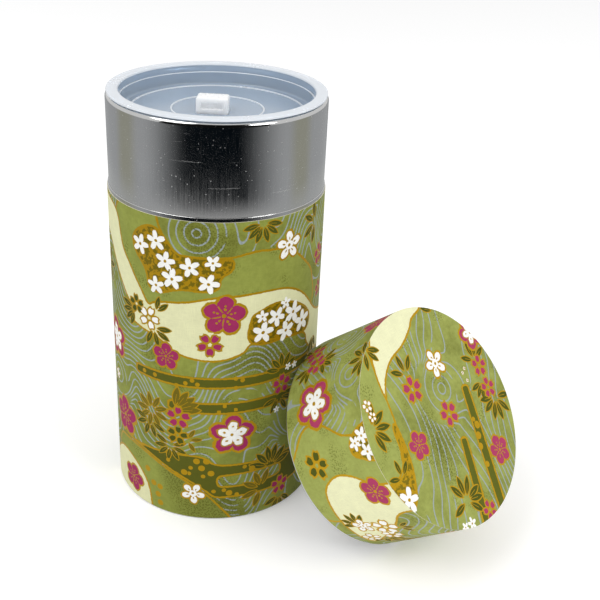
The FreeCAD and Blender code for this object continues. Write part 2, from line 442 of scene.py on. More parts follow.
def print_sheet(mesh, design, period):
    """Lays a design on a paper piece: distances to its areas on every point, and on every
    face the place inside the nearest blossom and the nearest leaf."""
    count = len(mesh.loops)
    flat = np.empty(count * 2)
    mesh.uv_layers["sheet"].data.foreach_get("uv", flat)
    flat = flat.reshape(-1, 2)
    owner = np.empty(count, int)
    mesh.loops.foreach_get("vertex_index", owner)
    corners = np.empty(len(mesh.polygons), int)
    mesh.polygons.foreach_get("loop_total", corners)
    face_of = np.repeat(np.arange(len(corners)), corners)
    places = np.zeros((len(mesh.vertices), 2))
    places[owner] = flat
    if period:
        places[:, 0] -= period * np.round(places[:, 0] / period)
    shifts = (-period, 0, period) if period else (0,)

    def area(outlines):
        distance = np.full(len(places), 14.0)
        for outline in outlines:
            for shift in shifts:
                distance = np.minimum(distance, reach(places - (shift, 0), outline))
        return distance

    cream = area(design["cream"])
    gilt = area(design["gilt"])
    dark = area(design["dark"])
    for outline in design.get("openings", []):
        dark = np.maximum(dark, -reach(places, outline))
    plain = area(design["plain"])
    deep = area(design["deep"])
    turns = math.tau / (period or 120.0)

    def swell(x, y):
        sideways, upwards, height = design["flow"]
        level = 7.0 * np.sin(2 * turns * x + 0.055 * y)
        level = level + 4.5 * np.sin(3 * turns * x - 0.08 * y + 1.0)
        level = level + 1.2 * np.sin(7 * turns * x + 0.12 * y + 2.0)
        return sideways * x + upwards * y + height * level

    def stream(x, y):
        """Height of the water field, whose level lines are printed as ripples."""
        level = swell(x, y)
        for whirl_x, whirl_y, size in design["whirls"]:
            for shift in shifts:
                away = np.hypot(x - whirl_x - shift, y - whirl_y)
                outside = np.clip((away - size * 0.4) / (size * 0.6), 0, 1)
                outside = outside * outside * (3 - 2 * outside)
                level = level * outside + (away + swell(whirl_x, whirl_y)) * (1 - outside)
        return level

    x, y = places.T
    water = stream(x, y)
    steep = np.hypot(stream(x + 0.2, y) - water, stream(x, y + 0.2) - water) / 0.2
    for name, levels in (("areas", (cream, gilt, dark)), ("ground", (plain, deep, water))):
        layer = mesh.attributes.new(name, "FLOAT_VECTOR", "POINT")
        layer.data.foreach_set("vector", np.stack(levels, 1).astype(np.float32).ravel())
    layer = mesh.attributes.new("steepness", "FLOAT", "POINT")
    layer.data.foreach_set("value", steep.astype(np.float32))

    sheet = flat.copy()
    middles = np.zeros((len(corners), 2))
    np.add.at(middles, face_of, sheet)
    middles /= corners[:, None]
    if period:
        whole = period * np.round(middles[:, 0] / period)
        middles[:, 0] -= whole
        sheet[:, 0] -= whole[face_of]

    def past_blossom(away, motif):
        return np.hypot(*away.T) / motif[2] + (0.35 if motif[4] == DOT else 0.0)

    def past_leaf(away, motif):
        along, across = motif_place(away, *motif[2:4])
        return np.hypot((along - 0.5) / 0.5, across / 0.19)

    for name, motifs, past in (("blossom", design["blossoms"], past_blossom),
                               ("leaf", design["leaves"], past_leaf)):
        motifs = np.array([(x + shift, *rest) for x, *rest in motifs for shift in shifts])
        past_each = np.stack([past(middles - motif[:2], motif) for motif in motifs])
        chosen = motifs[past_each.argmin(0)[face_of]]
        along, across = motif_place(sheet - chosen[:, :2], chosen[:, 2], chosen[:, 3])
        layer = mesh.attributes.new(name, "FLOAT_VECTOR", "CORNER")
        layer.data.foreach_set(
            "vector", np.stack((along, across, chosen[:, 4]), 1).astype(np.float32).ravel())


def split(place):
    """The three numbers that a place is stored as."""
    parted = add(place.id_data, "SeparateXYZ")
    feed(parted.inputs[0], place)
    return [Reading(number) for number in parted.outputs]


def folded(place, parts):
    """A place on a blossom folded on to one of its equal petals: how far out it is, then its
    place along and across the petal, then the kind of blossom."""
    x, y, kind = split(place)
    away = (x * x + y * y).then("SQRT")
    turns = y.then("ARCTAN2", x) * (parts / math.tau)
    side = (turns - turns.then("ROUND")) * (math.tau / parts)
    return away, away * side.then("COSINE"), away * side.then("SINE"), kind


def blossom_group():
    """Five-petalled blossoms printed flat: plum, ringed plum, cherry, star, white, gold, dot."""
    tree, start, end = group(
        "blossoms", [("Place", "Vector"), ("Sheet", "Vector"), ("Red", "Color"),
                     ("White", "Color"), ("Gold", "Color"), ("Leaf Green", "Color")],
        [("Color", "Color"), ("Cover", "Float"), ("Gold Share", "Float")])
    unsteady = add(tree, "VectorMath", operation="MULTIPLY_ADD")
    shake = add(tree, "TexNoise")
    fill(shake, Vector=start.outputs["Sheet"], Scale=0.45, Detail=2.0)
    feed(unsteady.inputs[0], shake.outputs["Color"])
    unsteady.inputs[1].default_value = (0.16, 0.16, 0.0)
    centred = add(tree, "VectorMath", operation="SUBTRACT")
    feed(centred.inputs[0], start.outputs["Place"])
    centred.inputs[1].default_value = (0.08, 0.08, 0.0)
    feed(unsteady.inputs[2], centred.outputs[0])
    away, out, aside, kind = folded(unsteady.outputs[0], 5)

    def is_kind(number):
        return (kind - number).size().under(0.5, 0.01)

    def oval(middle, length, width):
        """Distance in blossom radii to an oval petal, or to the dot or mark on one."""
        shape = ((out - middle) / length).then("POWER", 2.0) + (aside / width).then("POWER", 2.0)
        return (shape.then("SQRT") - 1.0) * min(length, width)

    plum = oval(0.56, 0.42, 0.42).least(away - 0.44)
    inner = oval(0.36, 0.26, 0.19).least(away - 0.22)
    notch = ((out - 1.06).then("POWER", 2.0) + aside * aside).then("SQRT")
    cherry = oval(0.58, 0.42, 0.31).most(notch.flipped() - 0.80)
    star = oval(0.56, 0.42, 0.23).most(notch.flipped() - 0.88).least(away - 0.26)
    white = oval(0.57, 0.42, 0.33).least(away - 0.36)
    heart = away - 0.10
    marks = oval(0.42, 0.10, 0.05).least(heart)
    small_marks = oval(0.36, 0.05, 0.045).least(heart + 0.03)
    between = (out * 0.7265 - aside.size()).size() - 0.035
    between = between.most(away - 0.50).most(away.flipped() - 0.84)
    cluster = oval(0.30, 0.06, 0.05).least(heart).least(oval(0.46, 0.05, 0.045))
    cluster = cluster.least(between)

    petalled = is_kind(PLUM).most(is_kind(RINGED))
    cherry_like = is_kind(CHERRY).most(is_kind(GOLD)).most(is_kind(PALE))
    shape = (plum * petalled + cherry * cherry_like + star * is_kind(STAR)
             + white * is_kind(WHITE) + (away - 0.9) * is_kind(DOT))
    ringed = is_kind(RINGED)
    plain_dot = is_kind(DOT)
    edge = 0.015
    base = tint(petalled.most(is_kind(CHERRY)), start.outputs["White"],
                start.outputs["Red"])
    base = tint(is_kind(GOLD), base, start.outputs["Leaf Green"])
    inside = inner.under(0.0, edge) * ringed
    ring_line = inner.under(0.045, edge) * ringed * inside.flipped()
    base = tint(inside, base, start.outputs["White"])
    rim = shape.under(-0.085, edge).flipped() * is_kind(STAR).flipped()
    inked = (cluster.under(0.0, edge) * is_kind(PLUM)).most(
        marks.under(0.0, edge) * is_kind(WHITE)).most(
        small_marks.under(0.0, edge) * ringed).most(
        (away - 0.15).under(0.0, edge) * is_kind(STAR).most(cherry_like))
    gilding = rim.most(ring_line).most(plain_dot).most(inked)
    cover = shape.under(0.03, edge) * kind.over(0.5, 0.1)
    fill(end, Color=tint(gilding, base, start.outputs["Gold"]), Cover=cover, Gold_Share=gilding)
    return tree


def leaf_group():
    """Pointed leaves printed with a gold edge and a gold rib."""
    tree, start, end = group(
        "leaves", [("Place", "Vector"), ("Leaf Green", "Color"), ("Gold", "Color")],
        [("Color", "Color"), ("Cover", "Float"), ("Gold Share", "Float")])
    along, across, kind = split(start.outputs["Place"])
    swell = along * along.flipped() * 4.0
    shape = across.size() / 0.20 - swell.most(0.0).then("POWER", 0.85)
    shape = shape + (along - 0.5).size().over(0.5, 0.01) * 4.0
    rib = (across.size() - 0.012).under(0.0, 0.008) * along.under(0.60, 0.02)
    edge = shape.under(-0.30, 0.04).flipped()
    golden = (kind - GOLD_LEAF).size().under(0.5, 0.01) * 0.25
    gilding = rib.most(edge).most(golden)
    printed = tint(gilding, start.outputs["Leaf Green"], start.outputs["Gold"])
    fill(end, Color=printed, Cover=shape.under(0.0, 0.05), Gold_Share=gilding)
    return tree


blossoms_print = blossom_group()
leaves_print = leaf_group()


def paper_group():
    """Long-fibred paper: fibres that lie every way, soft cockles and small tone changes."""
    tree, start, end = group(
        "paper_fibre", [("Place", "Vector")], [("Height", "Float"), ("Tone", "Float")])
    place = start.outputs["Place"]
    across = cloudy(place, 1.0, 2.0, stretch=(0.35, 2.6, 1), shift=(3, 1, 0))
    along = cloudy(place, 1.0, 2.0, stretch=(2.4, 0.3, 1), shift=(9, 4, 0))
    cockle = cloudy(place, 0.22, 2.0)
    fibre = across.most(along)
    tone = (fibre - 0.55) * 0.6 + (cockle - 0.5) * 0.3
    fill(end, Height=fibre * 0.7 + cockle * 0.6, Tone=tone)
    return tree


paper_fibre = paper_group()


def ground_group():
    """The printed ground: green with darker clouding, stipple and silver water lines, then
    plain hills, dark bars, cream clouds and gilded patches, each with a gold edge."""
    tree, start, end = group(
        "printed_ground",
        [("Place", "Vector"), ("Areas", "Vector"), ("Ground", "Vector"), ("Light Green", "Color"),
         ("Dark Green", "Color"), ("Cream", "Color"), ("Gold", "Color"), ("Silver", "Color"),
         ("Steepness", "Float")],
        [("Color", "Color"), ("Gold Share", "Float"), ("Silver Share", "Float")])
    place = start.outputs["Place"]
    light_green, dark_green, cream_ink, gold_ink, silver_ink = [
        start.outputs[label] for label in ("Light Green", "Dark Green", "Cream", "Gold", "Silver")]
    wobble = (cloudy(place, 0.9, 2.0, shift=(2, 8, 0)) - 0.5) * 0.55
    cream, gilt, dark = [level + wobble for level in split(start.outputs["Areas"])]
    plain, deep, water = split(start.outputs["Ground"])
    plain = plain + wobble
    steepness = Reading(start.outputs["Steepness"]).most(0.3)
    soft = 0.05
    clouding = cloudy(place, 0.075, 3.0, shift=(6, 2, 0)).over(0.5, 0.22)
    mottle = cloudy(place, 0.6, 3.0).over(0.5, 0.3)
    tone = clouding * 0.42 + mottle * 0.22 + deep.under(0.0, 5.0) * 0.30
    base = tint(tone, light_green, dark_green)
    dots = add(tree, "TexVoronoi", feature="F1", voronoi_dimensions="2D")
    fill(dots, Vector=place, Scale=1.15)
    dot = Reading(dots.outputs["Distance"]).under(0.30, 0.06)
    patches = cloudy(place, 0.09, 1.0, shift=(17, 5, 0)).over(0.60, 0.06)
    stippled = deep.under(0.0, 4.0).most(patches * 0.8)
    wave = ((water / 2.8).then("FRACT") - 0.5).size() * 2.8 / steepness
    ragged = (cloudy(place, 3.0, 2.0) - 0.5) * 0.40
    broken = cloudy(place, 0.13, 1.0, shift=(8, 8, 4)).over(0.34, 0.02)
    line = (wave + ragged).under(0.28, 0.07) * broken * steepness.under(2.6, 0.4)
    open_water = plain.over(0.5, soft)
    silver = line * open_water
    base = tint(silver, base, silver_ink)
    hill = plain.under(0.0, soft)
    hill_tone = mottle * 0.18 + clouding * 0.15 + deep.under(0.0, 5.0) * 0.35
    base = tint(hill, base, tint(hill_tone, light_green, dark_green))
    base = tint(dot * stippled * 0.75, base, dark_green)
    bars = dark.under(0.0, soft)
    base = tint(bars, base, dark_green)
    clouds = cream.under(0.0, soft)
    base = tint(clouds, base, cream_ink)
    patch = gilt.under(0.0, soft)
    nearest = cream.size().least(gilt.size()).least(
        (dark + 0.5).size().most(clouds * 9.0)).least(plain.size().most(clouds * 9.0))
    edge = nearest.under(0.42, 0.06)
    gold = edge.most(patch)
    specks = cloudy(place, 0.55, 2.0, shift=(3, 19, 0)).over(0.50, 0.04)
    shaded = tint(specks * 0.7, gold_ink, dark_green)
    base = tint(patch, base, shaded)
    base = tint(edge, base, gold_ink)
    cover = bars.most(clouds).most(patch).most(edge)
    fill(end, Color=base, Gold_Share=gold, Silver_Share=silver * cover.flipped())
    return tree


printed_ground = ground_group()


def printed_paper(name, light, dark, cream, gold, red, silver, white, leaf):
    """Printed paper: its ground, then leaves, then blossoms, with raised gold and silver ink."""
    made, tree, skin = new_material(name)
    sheet = add(tree, "UVMap", uv_map="sheet")
    layers = {}
    for label in ("areas", "ground", "blossom", "leaf"):
        layers[label] = add(tree, "Attribute", attribute_name=label).outputs["Vector"]
    slope = add(tree, "Attribute", attribute_name="steepness").outputs["Fac"]
    ground = placed(tree, printed_ground, Place=sheet.outputs[0], Areas=layers["areas"],
                    Ground=layers["ground"], Steepness=slope, Light_Green=light,
                    Dark_Green=dark, Cream=cream, Gold=gold, Silver=silver)
    leaves = placed(tree, leaves_print, Place=layers["leaf"], Gold=gold, Leaf_Green=leaf)
    flowers = placed(tree, blossoms_print, Place=layers["blossom"], Sheet=sheet.outputs[0],
                     Red=red, White=white, Gold=gold, Leaf_Green=leaf)
    fibre = placed(tree, paper_fibre, Place=sheet.outputs[0])
    leaf_cover = Reading(leaves.outputs["Cover"])
    flower_cover = Reading(flowers.outputs["Cover"])
    base = tint(leaf_cover, ground.outputs["Color"], leaves.outputs["Color"])
    base = tint(flower_cover, base, flowers.outputs["Color"])
    shift = add(tree, "HueSaturation")
    fill(shift, Color=base, Value=Reading(fibre.outputs["Tone"]) * 0.5 + 1.0)
    under = Reading(ground.outputs["Gold Share"]) * leaf_cover.flipped()
    gilding = under + Reading(leaves.outputs["Gold Share"]) * leaf_cover
    gilding = gilding * flower_cover.flipped()
    gilding = gilding + Reading(flowers.outputs["Gold Share"]) * flower_cover
    bare = leaf_cover.flipped() * flower_cover.flipped()
    silvering = Reading(ground.outputs["Silver Share"]) * bare
    raised = gilding.most(silvering)
    fill(skin, Base_Color=shift.outputs[0], Metallic=gilding * 0.55 + silvering * 0.25,
         Roughness=(raised * 0.2).flipped() - 0.25, Specular_IOR_Level=0.18)
    relief(skin, Reading(fibre.outputs["Height"]) + raised * 0.8, 0.6, 0.00006)
    return made


def paper_core():
    """The cut edge and the back of the paper: unprinted, off-white and fibrous."""
    made, tree, skin = new_material("paper_core")
    place = add(tree, "TexCoord").outputs["Object"]
    fibre = placed(tree, paper_fibre, Place=place)
    tone = cloudy(place, 900.0, 3.0)
    shade = tint(tone, colour(196, 190, 160), colour(236, 232, 212))
    fill(skin, Base_Color=shade, Roughness=0.85)
    relief(skin, fibre.outputs["Height"], 0.3, 0.00004)
    return made


# Painted shade: the can's inks are set darker than the same inks on the cap, so that the can's
# paper looks less lit than the cap's.
can_washi_painted_darker = printed_paper(
    "can_washi_painted_darker", light=colour(138, 146, 66), dark=colour(80, 82, 10),
    cream=colour(208, 208, 166), gold=colour(170, 134, 12), red=colour(146, 36, 84),
    silver=colour(146, 156, 156), white=colour(228, 228, 224), leaf=colour(68, 74, 8))
bare_paper = paper_core()

can_design = {
    "cream": [
        [(-66, 125), (-50, 124), (-42, 123), (-38, 120), (-36.5, 113), (-35, 108), (-31, 103.5),
         (-28, 99), (-25, 95), (-22, 90), (-20, 92), (-15, 93.3), (-8, 94.2), (-3, 95.5), (3, 97),
         (10, 97.3), (22, 98), (30, 97.3), (36, 94.8), (41, 91), (45, 86.5), (49, 82), (54, 79),
         (62, 76.5), (70, 70), (66, 61), (60, 61), (54, 62), (48, 65), (44, 69), (43, 74),
         (38, 76), (25, 78), (16, 78), (14.5, 75), (12, 73.5), (6, 71.7), (0, 71.4),
         (-8, 72.5), (-13, 74.5), (-16, 77), (-20, 79), (-24, 79.3), (-33, 81.8), (-28, 86),
         (-33, 89), (-36, 93), (-39, 97), (-42, 101.5), (-45, 106), (-48, 108.5), (-56, 112),
         (-66, 118)],
        [(-52, 11), (-50, 14), (-46, 17.5), (-42, 19.5), (-36, 19.5), (-30, 16.7), (-26, 12.5),
         (-24, 8), (-23, 0), (-23, -5), (-54, -5), (-54, 4)],
    ],
    "gilt": [
        [(-29, 115), (-26, 118.5), (-22, 121), (-17, 121), (-13, 116), (-11, 113), (-8, 112),
         (2, 112), (10, 112), (9.5, 107), (5, 105), (5, 100), (-1, 99), (-8, 99.5), (-13, 98),
         (-18, 96), (-22, 98), (-22, 102), (-24, 106), (-28, 110)],
        [(14.5, 79), (16.5, 89), (19, 90), (25, 92.5), (31, 91.5), (36, 89.5), (42, 85.5),
         (46, 80.5), (44, 75), (38, 75.5), (30, 77), (20, 76.3)],
    ],
    "dark": [
        bar((-27, 62), (44, 62.3), 2.5),
        bar((-12, 51.2), (44, 51.6), 2.7),
        [(-44, 27.6), (-36, 28), (-24, 28.6), (-10, 30), (0, 30), (3, 26.2), (12, 26),
         (44, 26), (48, 18), (44, 10), (24, 10), (10, 10.2), (3, 10), (0, 13), (-6, 17),
         (-12, 20), (-25, 26), (-35, 27)],
    ],
    "openings": [bar((7.3, 18.2), (28, 18.4), 2.3)],
    "plain": [
        [(-37, 128), (-18, 128), (-17, 121), (-11, 113), (-8, 112), (9, 112), (14, 113.3),
         (19, 114), (24, 113.3), (31, 113.5), (35, 109.5), (40, 105), (45, 100), (46.5, 95),
         (48, 90), (47, 84), (30, 88), (0, 88), (-25, 86), (-42, 116)],
        [(-46, 25), (-35, 26.3), (-25, 25.4), (-12, 19.4), (-6, 16.4), (0, 12), (3, 9),
         (7, 4), (10, 0), (12, -6), (-26, -6), (-46, 10)],
    ],
    "deep": [
        [(-10, 121), (-4, 111), (6, 110), (12, 118), (6, 124), (-4, 126)],
        [(13, 73.5), (20, 77), (30, 77), (37, 75), (42, 71), (46, 67), (58, 62), (60, 56),
         (44, 60), (10, 65), (8, 70)],
        [(-10, 30), (-20, 22), (-14, 10), (-8, -4), (14, -4), (16, 12), (4, 26)],
    ],
    "flow": (0.0, 0.72, 1.0),
    "whirls": [(-3, 121, 26), (-44, 52, 15), (40, 40, 16), (58, 112, 16)],
    "blossoms": [
        (6.5, 90, 8.4, 84, PLUM), (1.5, 78.3, 5.3, 54, CHERRY), (-15, 71.3, 5.9, 88, PLUM),
        (-45, 67.5, 9.0, 100, RINGED), (-39, 35.5, 8.9, 92, PLUM), (10, 39.6, 9.4, 88, RINGED),
        (-10.5, 46, 5.6, 90, CHERRY), (-11, 38, 4.8, 80, GOLD), (-22, 85, 5.2, 70, PALE),
        (-28, 88.6, 4.2, 95, GOLD), (-25, 113, 3.8, 75, STAR), (-18, 116, 3.8, 98, STAR),
        (-14.5, 109, 3.9, 80, STAR), (-5.5, 108, 3.7, 105, STAR), (-12, 102.8, 4.1, 85, STAR),
        (1, 102.3, 3.9, 70, STAR), (-18.5, 99, 3.5, 95, STAR), (2.5, 110.3, 3.0, 270, STAR),
        (31, 113.5, 6.0, 90, WHITE), (-5, 12, 5.2, 60, WHITE), (-34, 8.8, 6.6, 76, PLUM),
        (30, 57, 5.0, 90, CHERRY), (31, 10, 5.0, 88, CHERRY), (52, 103, 5.0, 90, CHERRY),
        (21, 81.5, 4.4, 80, STAR), (26.5, 86.5, 4.0, 60, STAR), (31, 79.5, 4.2, 100, STAR),
        (34.5, 86, 4.6, 75, STAR), (40, 80.5, 4.5, 90, STAR), (20.5, 88, 2.6, 90, STAR),
        (30.5, 91, 2.4, 90, STAR), (-46, 50.5, 2.6, 90, WHITE), (33, 63.5, 1.6, 60, STAR),
        (36.5, 63, 1.6, 20, STAR), (28, 46.5, 1.5, 20, STAR), (56, 50, 5.2, 20, PLUM),
        (57, 30, 5.0, 60, CHERRY), (48, 10, 5.4, 80, WHITE), (54, 88, 4.0, 90, CHERRY),
        *[(x, y, 0.95, 0, DOT) for x, y in (
            (-25, 62), (-20, 62), (-11, 60), (-7.5, 61.5), (-5, 63), (-3, 61.5), (11, 64),
            (13.5, 63), (11, 60), (7, 52.5), (5, 50), (11, 50.5), (-15, 25.5), (-5.8, 24),
            (-11.5, 20), (-6.5, 21.3), (-1, 20.5), (15, 24), (3, 13.5), (7, 14), (12, 11.5))],
        *[(x, y, 1.4, 0, DOT) for x, y in (
            (-3.5, 27.3), (0.3, 27.5), (-1.6, 24.3), (-8.4, 21.5), (2, 22), (18, 22.5),
            (9, 12.5), (-22, 12), (-19, 11.3), (-20, 7.3), (-19, 3.5), (-25, 17.5))],
    ],
    "leaves": [
        *spray(-29, 86, 6.5, (165, 195, 225, 250)), *spray(-20, 81.5, 6.5, (245, 285, 5, 330)),
        *spray(-19, 88, 6.0, (40, 75)), *spray(-22, 46, 6.5, range(20, 360, 40), GOLD_LEAF),
        *spray(-12, 49, 9.0, (82, 58, 40, 24, 8), GOLD_LEAF),
        *spray(-23, 41, 6.5, (170, 205, 250, 290, 335)),
        *spray(-14, 32.5, 6.0, (20, 70, 150, 190, 225, 262, 300, 340)),
        *spray(-7, 36.5, 5.0, (60, 10, 300), GOLD_LEAF),
        *spray(20, 124, 6.5, (195, 225, 250, 285, 320, 350)),
        *spray(30, 63, 6.5, (165, 130, 95, 60, 25)), *spray(29, 52, 6.5, (200, 240, 300, 340)),
        *spray(26, 21, 8.5, (160, 130, 100, 75, 45, 15)),
        *spray(22, 12, 7.5, (150, 110, 70, 200, 250), GOLD_LEAF),
        *spray(31, 5, 6.5, (200, 240, 280, 320)), *spray(46, 118, 7, (100, 150, 210, 260)),
        *spray(-55, 42, 7, (30, 70, 120, 200, 260)), *spray(50, 70, 7, (240, 270, 300)),
        *spray(-52, 96, 7, (10, 60, 110, 200, 250, 310)),
    ],
}


def printed_wall(name, radius, foot, top, design, washi, place=UPRIGHT):
    """Paper round a wall: a thin tube whose outside is fine enough to carry the print, which
    repeats every half turn."""
    bm = bmesh.new()
    corners = draw(
        bm, (radius - PAPER, top), (radius - PAPER, foot), (radius, foot), (radius, top))
    join(bm, corners[-1], corners[0])
    outside = [edge for edge in corners[2].link_edges if edge.other_vert(corners[2]) is corners[3]]
    bmesh.ops.subdivide_edges(bm, edges=outside, cuts=round((top - foot) / PRINT_STEP))
    turn(bm, 360)
    roll_out(bm, radius)
    for face in bm.faces:
        middle = face.calc_center_median()
        outer = math.hypot(middle.x, middle.y) > radius - PAPER * 0.3
        face.material_index = 0 if outer else 1
    piece = finished(name, bm, [washi, bare_paper], place)
    print_sheet(piece.data, design, math.pi * radius)
    return piece


can_paper = printed_wall(
    "can_paper", PAPER_RADIUS, PAPER_FOOT, PAPER_TOP, can_design, can_washi_painted_darker)
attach(can_paper, "can")
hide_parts("body_washi")


# --- Inner lid ------------------------------------------------------------------------------
# One moulding in milky, bluish polypropylene: a flange that lies on the rolled mouth, a plug
# wall with a ledge, and a sunken floor with two low rings and a hollow-fronted pull tab.

FLANGE_RADIUS = 39.0
FLANGE_FOOT = 159.3
FLANGE_TOP = 160.2
PLUG_RADIUS = 35.65
PLUG_INSIDE = 34.75
LEDGE_TOP = 157.0
FLOOR_RADIUS = 34.35
FLOOR_TOP = 152.5
FLOOR_FOOT = 151.5
RINGS = (31.2, 16.5)
RING_FOOT = 0.35
RING_CREST = 0.25
RING_HEIGHT = 0.3
TAB_WIDTH = 11.3
TAB_DEPTH = 6.8
TAB_FRONT = 5.7
TAB_BACK = 5.8
TAB_EDGE = 0.85
TAB_TURN = -1.0
TAB_PLACE = (-0.0013, -0.0041, 0)
POCKET_HALF = 4.2
POCKET_FOOT = FLOOR_TOP + 1.6
POCKET_TOP = FLOOR_TOP + 4.2
POCKET_EASE = 0.25
POCKET_DRAFT = 0.12
POCKET_DEPTH = 1.2


def moulded(name, body, deep, transmission, roughness):
    """Moulded polypropylene: milky, slightly clouded, with a soft skin and fine flow marks."""
    made, tree, skin = new_material(name)
    place = add(tree, "TexCoord").outputs["Object"]
    cloud = cloudy(place, 60.0, 3.0)
    orange = cloudy(place, 700.0, 2.0)
    scratch = cloudy(place, 1.0, 1.0, stretch=(2600, 140, 700)).over(0.88, 0.03)
    rough = (cloud - 0.5) * 0.12 + (orange - 0.5) * 0.06 + scratch * 0.08 + roughness
    fill(skin, Base_Color=tint(cloud, deep, body), Roughness=rough,
         Transmission_Weight=transmission, IOR=1.49)
    relief(skin, orange * 0.5 + scratch * 0.5, 0.08, 0.00003)
    return made


milky = moulded("milky_lid", (0.72, 0.84, 0.97, 1), (0.63, 0.76, 0.92, 1), 0.62, 0.20)
# Painted highlights: a whiter, less clear copy of the same plastic, laid on the flange top, the
# ring crests and the ledge so that they show as bright lines.
milky_painted_highlights = moulded("milky_painted_highlights", (0.88, 0.91, 0.95, 1), (0.82, 0.87, 0.93, 1), 0.25, 0.25)
# Painted light: the tab's copy of the same plastic is set almost white and not clear, so that it
# looks lit through; its subsurface scattering below is real.
milky_tab_painted_bright = moulded("milky_tab_painted_bright", (0.97, 0.98, 1.0, 1), (0.93, 0.95, 0.98, 1), 0.0, 0.28)
fill(
    milky_tab_painted_bright.node_tree.nodes["Principled BSDF"], Subsurface_Weight=1.0,
    Subsurface_Radius=(1.0, 1.0, 1.0), Subsurface_Scale=0.006)

bm = bmesh.new()
ring_points = []
for ring in RINGS:
    ring_points += [
        (ring + RING_FOOT, FLOOR_TOP), (ring + RING_CREST, FLOOR_TOP + RING_HEIGHT),
        (ring - RING_CREST, FLOOR_TOP + RING_HEIGHT), (ring - RING_FOOT, FLOOR_TOP)]
under = draw(
    bm, (0, FLOOR_FOOT), (PLUG_RADIUS - 0.5, FLOOR_FOOT), (PLUG_RADIUS, FLOOR_FOOT + 0.5),
    (PLUG_RADIUS, FLANGE_FOOT), (FLANGE_RADIUS - 0.15, FLANGE_FOOT),
    (FLANGE_RADIUS, FLANGE_FOOT + 0.15), (FLANGE_RADIUS, FLANGE_TOP - 0.3))
edge = curl(bm, under[-1], (FLANGE_RADIUS - 0.3, FLANGE_TOP - 0.3), -90, 4)
rim = draw(bm, (PLUG_INSIDE + 0.7, FLANGE_TOP))
join(bm, edge, rim[0])
inside = curl(bm, rim[0], (PLUG_INSIDE + 0.7, FLANGE_TOP - 0.7), -90, 6)
ledge = draw(
    bm, (PLUG_INSIDE, LEDGE_TOP + 0.1), (PLUG_INSIDE - 0.1, LEDGE_TOP),
    (FLOOR_RADIUS + 0.1, LEDGE_TOP), (FLOOR_RADIUS, LEDGE_TOP - 0.1),
    (FLOOR_RADIUS, FLOOR_TOP + 0.8))
join(bm, inside, ledge[0])
foot = curl(bm, ledge[-1], (FLOOR_RADIUS - 0.8, FLOOR_TOP + 0.8), 90, 6)
floor = draw(bm, *ring_points, (0, FLOOR_TOP))
join(bm, foot, floor[0])
turn(bm, 192)
# The flange top, the ring crests and the ledge take the whiter copy: painted highlight lines.
for face in bm.faces:
    middle = face.calc_center_median()
    away = math.hypot(middle.x, middle.y)
    on_ring = middle.z > FLOOR_TOP + 0.01 and any(abs(away - ring) < 0.5 for ring in RINGS)
    on_ledge = abs(middle.z - LEDGE_TOP) < 0.11 and away < PLUG_INSIDE + 0.1
    face.material_index = 1 if middle.z > FLANGE_TOP - 0.75 or on_ring or on_ledge else 0
lid = finished("inner_lid_moulding", bm, [milky, milky_painted_highlights])
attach(lid, "inner_lid")
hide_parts("inner_lid")

bm = bmesh.new()
bmesh.ops.create_cube(bm, size=1.0)
for vert in bm.verts:
    back = vert.co.y > 0
    top = vert.co.z > 0
    height = FLOOR_TOP + (TAB_BACK if back else TAB_FRONT) if top else FLOOR_TOP - 0.3
    vert.co = Vector((vert.co.x * TAB_WIDTH, vert.co.y * TAB_DEPTH, height))
upper = [edge for edge in bm.edges if max(v.co.z for v in edge.verts) > FLOOR_TOP + 1]
bmesh.ops.bevel(
    bm, geom=upper, offset=TAB_EDGE, offset_type="OFFSET", segments=5, profile=0.5,
    affect="EDGES", clamp_overlap=True, material=-1)
for where, way in (((POCKET_HALF, 0, 0), (1, 0, 0)), ((-POCKET_HALF, 0, 0), (1, 0, 0)),
                   ((0, 0, POCKET_FOOT), (0, 0, 1)), ((0, 0, POCKET_TOP), (0, 0, 1))):
    bmesh.ops.bisect_plane(
        bm, geom=bm.verts[:] + bm.edges[:] + bm.faces[:], plane_co=where, plane_no=way,
        clear_inner=False, clear_outer=False, dist=0.0001)
pocket = [face for face in bm.faces
          if face.normal.y < -0.9 and abs(face.calc_center_median().x) < POCKET_HALF
          and POCKET_FOOT < face.calc_center_median().z < POCKET_TOP]
for thickness, depth in ((POCKET_EASE, POCKET_EASE), (POCKET_DRAFT, POCKET_DEPTH)):
    bmesh.ops.inset_region(
        bm, faces=pocket, thickness=thickness, depth=-depth, use_even_offset=True)
bmesh.ops.recalc_face_normals(bm, faces=bm.faces[:])
turned = Matrix.Translation(TAB_PLACE) @ Matrix.Rotation(math.radians(TAB_TURN), 4, "Z")
tab = finished("inner_lid_tab", bm, milky_tab_painted_bright, turned)
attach(tab, "inner_lid")
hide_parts("inner_lid")


# --- Cap: tinplate skirt --------------------------------------------------------------------
# The wall of the outer lid that slides over the neck: 0.3 mm tinplate rolled round, with its
# mouth edge folded back inside as a round hem. Here the cap lies off the can and leans on it.

CAP_AXIS = Vector((0.62177, -0.47883, 0.61978)).normalized()
CAP_MOUTH = Vector((0.061293, -0.024888, 0.031641))
CAP_INSIDE = 40.25
CAP_TIN = 40.55
CAP_TIN_LENGTH = 39.75
HEM_INSIDE = 39.65
HEM_HEIGHT = 3.0
HEM_ROUND = 0.45

cap_side = Vector((0, 0, 1)).cross(CAP_AXIS).normalized()
cap_up = CAP_AXIS.cross(cap_side)
leaning = Matrix.Translation(CAP_MOUTH) @ Matrix((cap_side, cap_up, CAP_AXIS)).transposed().to_4x4()

